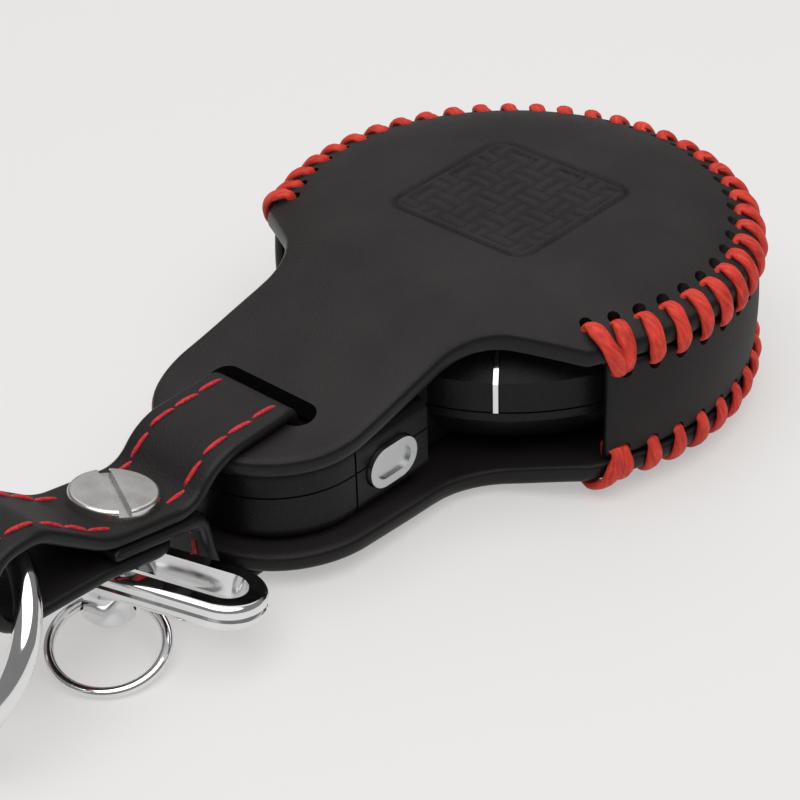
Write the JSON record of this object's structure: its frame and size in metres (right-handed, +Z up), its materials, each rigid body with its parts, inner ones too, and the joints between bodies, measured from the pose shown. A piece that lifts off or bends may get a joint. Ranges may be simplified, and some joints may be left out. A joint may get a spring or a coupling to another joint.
{
  "type": "key fob cover",
  "caption": "Laced leather cover on a round key fob, with a screwed strap that carries rings and a side button that frees the key.",
  "frame": {"origin": "under the middle of the round head, on the flat that the cover lies on", "axes": "+X from the tail to the head, -Y to the release button, +Z up"},
  "size_m": [0.1099, 0.0546, 0.0212],
  "materials": {
    "black_leather": "matt, fine grain, painted edges",
    "red_lace": "waxed cord",
    "satin_nickel": "satin",
    "chrome": "polished",
    "black_plastic": "fine texture",
    "trim_chrome": "polished",
    "cell_steel": "brushed",
    "board_green": "solder resist",
    "blade_steel": "brushed",
    "silver_plastic": "satin silver paint",
    "button_grey": "satin"
  },
  "bodies": {
    "cover": {"top_panel": "black_leather", "bottom_panel": "black_leather", "side_gusset": "black_leather", "strap": "black_leather", "top_lacing": "red_lace", "bottom_lacing": "red_lace", "strap_screw": "satin_nickel", "screw_post": "chrome", "fob_upper_shell": "black_plastic", "fob_lower_shell": "black_plastic", "battery_cover": "black_plastic", "key_handle_upper": "black_plastic", "key_handle_lower": "black_plastic", "fob_trim": "trim_chrome", "coin_cell": "cell_steel", "circuit_board": "board_green", "key_blade": "blade_steel"},
    "small_ring": {"small_ring": "chrome"},
    "key_bow": {"key_bow": "chrome"},
    "loop_ring": {"loop_ring": "chrome"},
    "release_button": {"release_button": "silver_plastic"},
    "lock_button": {"lock_button": "button_grey"},
    "unlock_button": {"unlock_button": "button_grey"},
    "boot_button": {"boot_button": "button_grey"}
  },
  "joints": [
    {"name": "small_ring_hinge", "type": "hinge", "parent": "cover", "child": "small_ring", "pos_m": [-0.05844, 0, 0.00327], "axis": [0.7071, -0.7071, 0], "range_deg": [-5, 90]},
    {"name": "key_bow_swivel", "type": "hinge", "parent": "cover", "child": "key_bow", "pos_m": [-0.05778, 0, 0.007], "axis": [0.1736, 0, 0.9848], "range_deg": [-60, 2]},
    {"name": "loop_ring_hinge", "type": "hinge", "parent": "cover", "child": "loop_ring", "pos_m": [-0.0695, 0, 0.0162], "axis": [-0.1736, -0.9848, 0], "range_deg": [-15, 30]},
    {"name": "release_press", "type": "slide", "parent": "cover", "child": "release_button", "axis": [0, 1, 0], "range_m": [0, 0.0009], "stiffness_N_per_m": 1500},
    {"name": "lock_press", "type": "slide", "parent": "cover", "child": "lock_button", "axis": [0, 0, -1], "range_m": [0, 0.0004], "stiffness_N_per_m": 2500},
    {"name": "unlock_press", "type": "slide", "parent": "cover", "child": "unlock_button", "axis": [0, 0, -1], "range_m": [0, 0.0004], "stiffness_N_per_m": 2500},
    {"name": "boot_press", "type": "slide", "parent": "cover", "child": "boot_button", "axis": [0, 0, -1], "range_m": [0, 0.0004], "stiffness_N_per_m": 2500}
  ]
}
